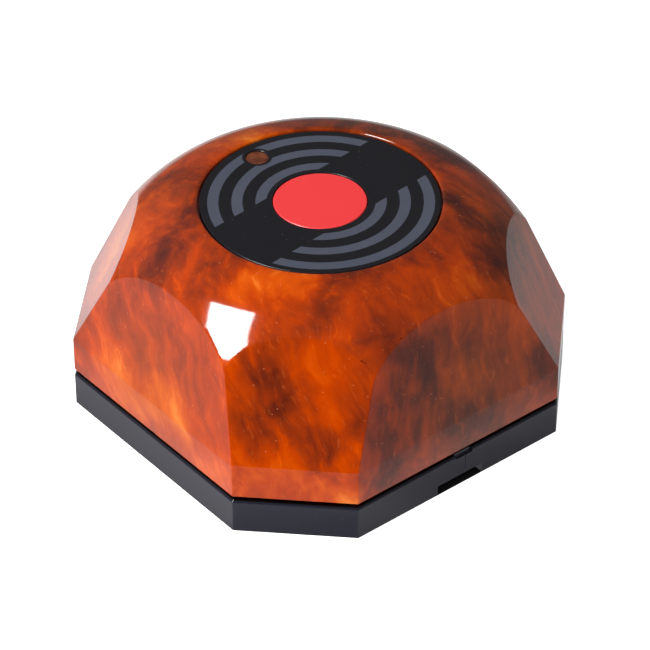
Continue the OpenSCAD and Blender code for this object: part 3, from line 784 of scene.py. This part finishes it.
def round_edges(mesh, wanted, width_mm, segments=3, least_deg=20):
    mesh.normal_update()
    picked = [e for e in mesh.edges if len(e.link_faces) == 2
              and e.calc_face_angle() > math.radians(least_deg) and wanted(e)]
    bmesh.ops.bevel(mesh, geom=picked, affect="EDGES", offset=width_mm * MM, offset_type="OFFSET",
                    segments=segments, profile=0.5, material=-1, clamp_overlap=True)
    return len(picked)


def paint_ledge_shade(material):
    # Painted shade: the ledge's colour is mixed towards nearly black inside the gap under the shell.
    tree = material.node_tree
    colour = tree.nodes["Principled BSDF"].inputs["Base Color"]
    place = own_place(tree)
    inwards = stretch(tree, outside_octagon(tree, place), *(v * MM for v in LEDGE_IN))
    high = maths(tree, "GREATER_THAN", parts_of(tree, place)["Z"], LEDGE_Z * MM)
    tree.links.new(blend(tree, times(tree, inwards, high), colour.links[0].from_socket, LEDGE_PAINTED_SHADE), colour)


paint_ledge_shade(BASE_BLACK)


def base():
    mesh = merged_copy("base_plate")
    rounded = round_edges(mesh, lambda e: min(past_octagon(v.co) for v in e.verts) > BAND_EDGE, BASE_ROUND)
    print("base edges rounded", rounded)
    return smooth_finish(mesh, "base", BASE_BLACK)


stand_in(base(), "base_plate", "base")

# %% [markdown]
# ## Disc and arcs
# The disc is a flat die-cut plate with the arcs printed on it. The arcs keep the model's shape,
# and a copy of the disc gets a soft edge round its rim and its two holes.

# %% Disc
DISC_R, WINDOW_X, WINDOW_Y, WINDOW_R = 16.6, -9.8, 9.35, 1.65


def on_disc_edge(edge):
    for v in edge.verts:
        away = v.co.xy.length / MM
        window = (v.co.xy - Vector((WINDOW_X, WINDOW_Y)) * MM).length / MM
        if abs(v.co.z / MM - DISC_Z) > 0.01:
            return False
        if min(abs(away - DISC_R), abs(away - BUTTON_HOLE_R), abs(window - WINDOW_R)) > 0.03:
            return False
    return True


def disc():
    mesh = merged_copy("face_disc")
    rounded = round_edges(mesh, on_disc_edge, 0.07, segments=2)
    print("disc edges rounded", rounded)
    return smooth_finish(mesh, "disc", DISC_BLACK)


stand_in(disc(), "face_disc")

# %% [markdown]
# ## Red button
# A button cap is a body of revolution: a flat top with a soft edge, a thin wall with a flange
# that keeps it in, and a stem in the middle. Two crossed ribs stiffen it from below.

# %% Red button
CAP_R, CAP_EDGE, CAP_FLANGE_R, CAP_HOLLOW_R = 6.5, 0.22, 7.5, 5.3
STEM_R, STEM_LOW, RIB_LONG, RIB_T = 1.75, 26, 5.5, 0.4


def arc_points(centre_r, centre_z, radius, first_deg, last_deg, steps):
    angles = [math.radians(first_deg + (last_deg - first_deg) * i / steps) for i in range(steps + 1)]
    return [(centre_r + radius * math.cos(a), 0, centre_z + radius * math.sin(a)) for a in angles]


def button():
    top, flange_low, under = DISC_Z, CEILING_Z - 1.2, DISC_Z - 1.2
    mesh = spun([(0, 0, top), *arc_points(CAP_R - CAP_EDGE, top - CAP_EDGE, CAP_EDGE, 90, 0, 5),
                 (CAP_R, 0, CEILING_Z), (CAP_FLANGE_R, 0, CEILING_Z), (CAP_FLANGE_R, 0, flange_low),
                 (CAP_HOLLOW_R, 0, flange_low), (CAP_HOLLOW_R, 0, under), (STEM_R, 0, under),
                 (STEM_R, 0, STEM_LOW), (0, 0, STEM_LOW)], 128)
    made = to_object(mesh, "button")
    for turn in (0.0, math.pi / 2):
        rib = bmesh.new()
        block(rib, (-RIB_LONG, -RIB_T, flange_low), (RIB_LONG, RIB_T, top - 1.0), turn)
        boolean(made, to_object(rib, "button_rib"), "UNION")
    mesh = bmesh.new()
    mesh.from_mesh(made.data)
    bpy.data.objects.remove(made)
    return smooth_finish(mesh, "button", BUTTON_RED, sharp_deg=40)


stand_in(button(), "call_button", "button")

# %% [markdown]
# ## Indicator window
# The window is a small pin of amber plastic, a little lower than the disc, with a slightly
# hollow top and a flange that holds it from below.

# %% Indicator window


def window():
    top, radius, flange_r, flange_low = DISC_Z - 0.16, 1.63, 2.3, CEILING_Z - 1.1
    mesh = spun([(0, 0, top - 0.12), (0.6, 0, top - 0.10), (1.1, 0, top - 0.04), (1.46, 0, top),
                 (radius - 0.04, 0, top - 0.02), (radius, 0, top - 0.08), (radius, 0, CEILING_Z),
                 (flange_r, 0, CEILING_Z), (flange_r, 0, flange_low), (0, 0, flange_low)], 64)
    bmesh.ops.translate(mesh, vec=Vector((WINDOW_X, WINDOW_Y, 0)) * MM, verts=mesh.verts)
    return smooth_finish(mesh, "window", WINDOW_AMBER)


stand_in(window(), "led_window")

# %% [markdown]
# ## Wound wire: antenna and battery spring
# Both are round wire wound on a rod. A ring of corners is spun about the winding's axis and moved
# on a little at each step. The antenna's two ends run straight down into the board. The spring is
# wound on a cone, so its turns are drawn in afterwards, more and more towards the cell.

# %% Antenna and spring
CELL_Z, CELL_LOW, PLATE_X = 8.9, -12.3, -16.2
COIL_R, COIL_WIRE, COIL_PITCH, COIL_TURNS, COIL_Y, COIL_Z = 2.2, 0.8, 1.5, 9.5, -18.0, 20.0
SPRING_R, SPRING_END_R, SPRING_WIRE, SPRING_TURNS = 3.4, 2.0, 0.6, 3
STEPS_A_TURN = 28


def winding(first_x, y, z, radius, wire, pitch, turns):
    """Round wire wound about a line along X, open at both ends."""
    mesh = bmesh.new()
    bmesh.ops.create_circle(mesh, cap_ends=False, segments=14, radius=wire / 2 * MM)
    bmesh.ops.translate(mesh, vec=Vector((first_x, y - radius, z)) * MM, verts=mesh.verts)
    bmesh.ops.spin(mesh, geom=mesh.verts[:] + mesh.edges[:], cent=Vector((0, y, z)) * MM, axis=(-1, 0, 0),
                   dvec=(pitch / STEPS_A_TURN * MM, 0, 0), angle=turns * math.tau,
                   steps=round(turns * STEPS_A_TURN))
    return mesh


def antenna():
    mesh = winding(-COIL_TURNS * COIL_PITCH / 2, COIL_Y, COIL_Z, COIL_R, COIL_WIRE, COIL_PITCH, COIL_TURNS)
    legs = bmesh.ops.extrude_edge_only(mesh, edges=[e for e in mesh.edges if e.is_boundary])["geom"]
    for corner in (g for g in legs if isinstance(g, bmesh.types.BMVert)):
        corner.co.z = BOARD_TOP * MM
    close_ends(mesh)
    bmesh.ops.recalc_face_normals(mesh, faces=mesh.faces)
    return smooth_finish(mesh, "antenna", COPPER_WIRE)


def spring():
    first, last = PLATE_X + SPRING_WIRE / 2, CELL_LOW - SPRING_WIRE / 2
    mesh = winding(first, 0, CELL_Z, SPRING_R, SPRING_WIRE, (last - first) / SPRING_TURNS, SPRING_TURNS)
    for corner in mesh.verts:
        along = (corner.co.x / MM - first) / (last - first)
        out = Vector((0, corner.co.y, corner.co.z - CELL_Z * MM)).normalized()
        corner.co -= out * (SPRING_R - SPRING_END_R) * along * MM
    close_ends(mesh)
    bmesh.ops.recalc_face_normals(mesh, faces=mesh.faces)
    return smooth_finish(mesh, "spring", TINNED)


stand_in(antenna(), "coil_antenna")
stand_in(spring(), "battery_spring")

# %% [markdown]
# ## Battery
# The small twelve volt cell is a drawn can with a button contact, in a shrunk plastic sleeve that
# curls over both ends. Each is spun from its outline and laid down along X. The sleeve's band of
# gold at the plus end is a step in its colour, with a thin pale line where it begins.

# %% Battery
CELL_OUTLINE = [(0, -12.3), (4.2, -12.3), (4.7, -12.2), (4.9, -11.9), (4.93, -11.5), (4.93, 14.2), (4.88, 14.6),
                (4.65, 14.85), (4.3, 14.9), (3.5, 14.9), (3.4, 14.7), (3.1, 14.7), (2.9, 14.9), (2.9, 15.9),
                (2.8, 16.1), (2.6, 16.2), (0, 16.2)]
SLEEVE_OUTLINE = [(4.95, -11.5), (4.93, -11.92), (4.72, -12.24), (4.4, -12.32), (4.4, -12.4), (4.85, -12.34),
                  (5.08, -12.1), (5.15, -11.7), (5.15, 14.4), (5.05, 14.8), (4.8, 14.97), (4.45, 15.0),
                  (4.45, 14.93), (4.67, 14.89), (4.92, 14.62), (4.95, 14.3), (4.95, -11.5)]
BAND_X, BAND_LINE = 8.5, 0.3


def spun_along_x(outline, name, material):
    mesh = spun([(r, 0, along) for r, along in outline], 96)
    bmesh.ops.rotate(mesh, cent=(0, 0, 0), matrix=Matrix.Rotation(math.pi / 2, 3, "Y"), verts=mesh.verts)
    bmesh.ops.translate(mesh, vec=(0, 0, CELL_Z * MM), verts=mesh.verts)
    return smooth_finish(mesh, name, material)


def sleeve_finish():
    """The dark plastic of the sleeve, with a gold band towards the plus end."""
    material, tree, shader = finish("sleeve_banded")
    grain = use(tree, GRAIN, Size=700.0)
    from_band = maths(tree, "SUBTRACT", parts_of(tree, own_place(tree))["X"], BAND_X * MM)
    band = maths(tree, "GREATER_THAN", from_band, 0.0)
    line = maths(tree, "LESS_THAN", maths(tree, "ABSOLUTE", from_band), BAND_LINE * MM)
    dark = blend(tree, grain["Mottle"], paint(30, 32, 42), paint(42, 44, 54))
    gold = blend(tree, grain["Mottle"], paint(178, 138, 62), paint(206, 166, 84))
    feed(tree, shader, {
        "Base Color": blend(tree, line, blend(tree, band, dark, gold), paint(225, 225, 220)),
        "Roughness": spread(tree, grain["Mottle"], 0.18, 0.28),
        "Normal": bump(tree, grain["Height"], 0.004)})
    return material


stand_in(spun_along_x(CELL_OUTLINE, "cell", CELL_GOLD), "battery_cell")
stand_in(spun_along_x(SLEEVE_OUTLINE, "sleeve", sleeve_finish()), "battery_sleeve")

# %% [markdown]
# ## Small parts on the board
# Resistors and capacitors are tiny blocks with a tinned cap at each end. The wires that go through
# the board stand in little cones of solder. Both are repeated shapes, so each is written once and
# made in a loop over its places.

# %% Small parts and solder
CHIP_PLACES = [(-5, -9, 0), (-2, -9, 0), (1, -9, 0), (4.5, -9.5, 90), (7, -8.5, 90), (5.5, 9.5, 0),
               (8.5, 9.5, 0), (-13, 2.5, 90), (-5, 13, 90), (0, 11, 0)]
CAP_LONG, LEAD_AT = 0.3, 1.27
SOLDER_OUTLINE = [(0, 0), (0.95, 0), (0.72, 0.12), (0.55, 0.34), (0.47, 0.62), (0.40, 0.72), (0, 0.74)]
SOLDERED = [(-COIL_TURNS * COIL_PITCH / 2, COIL_Y - COIL_R), (COIL_TURNS * COIL_PITCH / 2, COIL_Y + COIL_R),
            (WINDOW_X - LEAD_AT, WINDOW_Y), (WINDOW_X + LEAD_AT, WINDOW_Y)]


def chip_blocks():
    mesh = bmesh.new()
    for number, (x, y, turn_deg) in enumerate(CHIP_PLACES):
        body = 0 if number % 3 else 2
        for low, high, material in (((-0.52, -0.37, 0.02), (0.52, 0.37, 0.47), body),
                                    ((-0.8, -0.4, 0), (-0.8 + CAP_LONG, 0.4, 0.5), 1),
                                    ((0.8 - CAP_LONG, -0.4, 0), (0.8, 0.4, 0.5), 1)):
            made = block(mesh, low, high, math.radians(turn_deg))
            bmesh.ops.translate(mesh, vec=Vector((x, y, BOARD_TOP)) * MM, verts=made)
            for face in {f for v in made for f in v.link_faces}:
                face.material_index = material
    round_edges(mesh, lambda e: True, 0.05, segments=2)
    return smooth_finish(mesh, "chip_blocks", CHIP_PARTS, TINNED, MOULDED_BLACK)


def solder():
    mesh = bmesh.new()
    for x, y in SOLDERED:
        cone = spun([(r, 0, BOARD_TOP + up) for r, up in SOLDER_OUTLINE], 32)
        bmesh.ops.translate(cone, vec=Vector((x, y, 0)) * MM, verts=cone.verts)
        made = bpy.data.meshes.new("cone")
        cone.to_mesh(made)
        cone.free()
        mesh.from_mesh(made)
    return smooth_finish(mesh, "solder", TINNED)


stand_in(chip_blocks(), "smd_parts")
solder_piece = solder()
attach(solder_piece, "housing")

# %% [markdown]
# ## Snap dome
# The thin steel dome in the switch gives the click. It is a spun slice of a hollow ball; the real
# one snaps flat under the plunger as it goes down.

# %% Snap dome
SNAP_FOOT_Z, SNAP_R, SNAP_H, SNAP_SHEET, PRESS = 17.6, 2.1, 1.5, 0.15, 0.5


def snap_dome():
    ball = (SNAP_R ** 2 + SNAP_H ** 2) / (2 * SNAP_H)
    middle_z = SNAP_FOOT_Z + SNAP_H - ball
    outline = []
    for radius, order in ((ball, 1), (ball - SNAP_SHEET, -1)):
        foot_deg = 90 - math.degrees(math.acos((SNAP_FOOT_Z - middle_z) / radius))
        outline += arc_points(0, middle_z, radius, 90, foot_deg, 12)[::order]
    return smooth_finish(spun(outline, 48), "snap_dome", SHEET_STEEL)


snap_piece = snap_dome()
apply_modifiers(snap_piece)
stand_in(snap_piece, "switch_dome")
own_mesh(snap_piece)

# %% [markdown]
# ## Parts with a softened edge
# Moulded and stamped parts have the model's shape, but no edge of them is knife sharp. Each copy is
# merged into whole faces, and its edges get a narrow rounding that fits the part's size.

# %% Softened parts
SOFTENED = [
    ("battery_holder", "cradle", MOULDED_BLACK, "moulded_black", 0.12, "housing"),
    ("board_screws", "screws", SCREW_STEEL, "screw_steel", 0.10, "housing"),
    ("encoder_chip", "chip", MOULDED_BLACK, "moulded_black", 0.08, "housing"),
    ("switch_housing", "switch_body", MOULDED_BLACK, "moulded_black", 0.12, "housing"),
    ("switch_cover", "switch_lid", SHEET_STEEL, "sheet_steel", 0.06, "housing"),
    ("contact_plates", "contacts", TINNED, "tinned", 0.08, "housing"),
    ("circuit_board", "board", BOARD_GREEN, "board_green", 0.06, "housing"),
    ("switch_plunger", "plunger_cap", PLUNGER_GREY, "plunger_grey", 0.15, "plunger"),
    ("adhesive_pad", "pad", FOAM_GREY, "foam_grey", 0.15, "base"),
    ("switch_pins", "pins", TINNED, "tinned", 0.05, "housing"),
    ("led_leads", "lamp_wires", TINNED, "tinned", 0.08, "housing"),
    ("chip_legs", "legs", TINNED, "tinned", 0.04, "housing")]


def softened(node, name, material, width_mm):
    mesh = merged_copy(node)
    rounded = round_edges(mesh, lambda e: True, width_mm, segments=2, least_deg=35)
    print(node, "edges rounded", rounded, "open", sum(not e.is_manifold for e in mesh.edges))
    return smooth_finish(mesh, name, material, sharp_deg=50)


for node_name, piece_name, material, slot_name, width_mm, body_name in SOFTENED:
    stand_in(softened(node_name, piece_name, material, width_mm), node_name, body_name)

# %% [markdown]
# ## Parts that keep the model's shape
# The printed arcs, the lamp and the resonator's can are right as they are and only need their
# real finish.

# %% Finishes for the unchanged parts
UNCHANGED = {"printed_arcs": PRINT_GREY, "led": LED_CLEAR, "saw_can": CAN_STEEL}
for node_name, material in UNCHANGED.items():
    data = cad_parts[node_name].data
    data.materials.clear()
    data.materials.append(material)
print("parts with a finish of their own", len(UNCHANGED))

# %% [markdown]
# ## Table and light
# The object stands on a white table. One large soft box from the front left makes the sharp
# white highlight on the dome; a second lamp in the same place gives the soft light without
# showing in the gloss. The camera sees the table and the room as plain white, but under the base
# the table is nearly black: painted shade, seen through the slot in the base. Glossy faces mirror
# both, and in the gloss the table's brightness is painted light, a glow that only glossy rays see:
# the upright band mirrors the strip of table next to the base, and the leaning faces mirror the
# table in front of it. How bright each strip is from left to right is written as a list, and
# painted shade, standing for the object's own shade, makes the table darker close to the base.

# %% Table, lamps and room
TABLE_NEAR = [(-0.04, 0.79), (-0.028, 0.83), (-0.017, 0.88), (-0.0098, 0.92), (-0.0086, 0.62), (0.0, 0.55),
              (0.008, 0.44), (0.0092, 0.66), (0.0145, 0.69), (0.0169, 0.61), (0.020, 0.49), (0.0246, 0.43),
              (0.0307, 0.45), (0.0338, 0.52), (0.04, 0.53)]
TABLE_FRONT = [(-0.14, 0.84), (-0.06, 0.76), (-0.04, 0.76), (-0.022, 0.84), (-0.0158, 0.82), (-0.0146, 0.62),
               (0.014, 0.62), (0.022, 0.86), (0.045, 0.74), (0.065, 0.52), (0.10, 0.45), (0.14, 0.36)]
TABLE_BEHIND = [(-0.05, 0.95), (0.055, 0.54)]
TABLE_SPAN, TABLE_SIZE, TABLE_LOW, TABLE_SEEN, TABLE_FAR = 0.15, 3.0, -0.03 * MM, 0.88, 0.14
STRIP_LONG, STRIP_END, SHADE_CLEARS = 5.0 * MM, (4.9 * MM, 5.6 * MM), (15.0 * MM, 30.0 * MM)
LIT_POINT, LAMP_AWAY = Vector((-9.5, -24.5, 27)) * MM, 0.75
LEFT_WALL = Vector((-0.78, 0.42, 0.46)).normalized()
FRONT_WALL = Vector((-0.50, -0.84, 0.15)).normalized()


def mirrored_table(tree, place, from_base):
    """The painted light of the table in the gloss, with painted shade near the base: how bright it looks by its
    place and its distance from the base.
    """
    parts = parts_of(tree, place)
    across = stretch(tree, parts["X"], -TABLE_SPAN, TABLE_SPAN)
    near, front, behind = (
        ramp(tree, across, [((x / TABLE_SPAN + 1) / 2, grey(value)) for x, value in stops])
        for stops in (TABLE_NEAR, TABLE_FRONT, TABLE_BEHIND))
    # In front, the shade deepens outwards from the strip, less far at the sides, and then clears.
    sideways = maths(tree, "ABSOLUTE", parts["X"])
    shade_end = stretch(tree, sideways, 14.0 * MM, 16.0 * MM, 14.5 * MM, 10.5 * MM)
    deepest = stretch(tree, parts["X"], 5.0 * MM, 22.0 * MM, 0.80, 0.68)
    shade = stretch(tree, from_base, STRIP_LONG, shade_end, 1.14, deepest)
    front = times(tree, front, stretch(tree, from_base, *SHADE_CLEARS, shade, 1.0))
    # The strip itself is darkest where it touches the base.
    near = times(tree, near, stretch(tree, from_base, 0.0, STRIP_LONG, 0.80, 1.12))
    in_front = blend(tree, stretch(tree, from_base, *STRIP_END), near, front)
    away = add(tree, "ShaderNodeVectorMath", {0: place}, operation="LENGTH").outputs["Value"]
    at_back = blend(tree, stretch(tree, away, 85.0 * MM, 160.0 * MM), behind, grey(TABLE_FAR))
    return blend(tree, stretch(tree, parts["Y"], -10.0 * MM, 20.0 * MM), in_front, at_back)


def table_finish():
    material = bpy.data.materials.new("table_white")
    material.use_nodes = True
    tree = material.node_tree
    tree.nodes.clear()
    seen = tree.nodes.new("ShaderNodeLightPath").outputs
    place = own_place(tree)
    from_base = outside_octagon(tree, place)
    # Under the base the table gets no glow and a nearly black colour: painted shade, seen through the slot in
    # the base.
    outside_base = maths(tree, "GREATER_THAN", from_base, 0.0)
    gloss = maths(tree, "MAXIMUM", seen["Is Glossy Ray"], seen["Is Transmission Ray"])
    # Painted light: for glossy rays the table glows with this brightness, painted shade included.
    mirrored = times(tree, gloss, mirrored_table(tree, place, from_base))
    shown = times(tree, seen["Is Camera Ray"], times(tree, outside_base, TABLE_SEEN))
    white = blend(tree, noise(tree, place, 3.0), grey(0.78), grey(0.82))
    matt_with_painted_shade = blend(tree, seen["Is Glossy Ray"], blend(tree, outside_base, grey(0.02), white), grey(0.0))
    matt = add(tree, "ShaderNodeBsdfDiffuse", {"Color": matt_with_painted_shade})
    glow = add(tree, "ShaderNodeEmission", {"Color": grey(1.0), "Strength": plus(tree, shown, mirrored)})
    both = add(tree, "ShaderNodeAddShader", {0: matt.outputs[0], 1: glow.outputs[0]})
    add(tree, "ShaderNodeOutputMaterial", {"Surface": both.outputs[0]})
    return material


def table():
    mesh = bmesh.new()
    bmesh.ops.create_grid(mesh, x_segments=1, y_segments=1, size=TABLE_SIZE)
    bmesh.ops.translate(mesh, vec=(0, 0, TABLE_LOW), verts=mesh.verts)
    made = to_object(mesh, "table", table_finish())


def lamp(name, towards, upright, width, height, watts, mirrored):
    """An area lamp that is either seen in glossy faces or lights the matt ones."""
    data = bpy.data.lights.new(name, "AREA")
    data.shape, data.size, data.size_y, data.energy = "RECTANGLE", width, height, watts
    made = bpy.data.objects.new(name, data)
    back = Vector(towards).normalized()
    side = Vector(upright).cross(back).normalized()
    made.matrix_world = (Matrix.Translation(LIT_POINT + back * LAMP_AWAY)
                         @ Matrix((side, back.cross(side), back)).transposed().to_4x4())
    made.visible_camera, made.visible_glossy, made.visible_diffuse = False, mirrored, not mirrored
    bpy.context.scene.collection.objects.link(made)


def facing(tree, towards, wall, first, strength):
    """The soft light of a wall, strongest straight towards it."""
    straight = add(tree, "ShaderNodeVectorMath", {0: towards, 1: wall}, operation="DOT_PRODUCT")
    return stretch(tree, straight.outputs["Value"], first, 1.0, 0.0, strength)


def room():
    world = bpy.data.worlds.new("room")
    bpy.context.scene.world = world
    world.use_nodes = True
    tree = world.node_tree
    tree.nodes.clear()
    seen = tree.nodes.new("ShaderNodeLightPath").outputs
    towards = tree.nodes.new("ShaderNodeTexCoord").outputs["Generated"]
    parts = parts_of(tree, towards)
    upper = ramp(tree, parts["Z"], [(0.0, grey(0.15)), (0.5, grey(0.14)), (1.0, grey(0.09))])
    not_front = stretch(tree, parts["Y"], -0.9, -0.3)
    mirrored = plus(tree, times(tree, upper, not_front), facing(tree, towards, LEFT_WALL, 0.80, 0.185))
    above = ramp(tree, parts["Z"], [(0.0, grey(0.08)), (0.35, grey(0.24)), (1.0, grey(0.60))])
    soft = plus(tree, above, facing(tree, towards, FRONT_WALL, 0.1, 0.55))
    lit = blend(tree, seen["Is Diffuse Ray"], mirrored, soft)
    shown = blend(tree, seen["Is Camera Ray"], lit, grey(1.0))
    light = add(tree, "ShaderNodeBackground", {"Color": shown, "Strength": 1.0})
    add(tree, "ShaderNodeOutputWorld", {"Surface": light.outputs[0]})


table()
room()
lamp("soft_box_mirrored", towards=(-0.58, -0.38, 0.72), upright=(0.17, 0.80, 0.575),
     width=0.25, height=0.52, watts=12.0, mirrored=True)
lamp("soft_box", towards=(-0.64, -0.50, 0.56), upright=(0, 0, 1),
     width=0.40, height=0.40, watts=4.9, mirrored=False)
scene = bpy.context.scene
scene.view_settings.view_transform = "Standard"
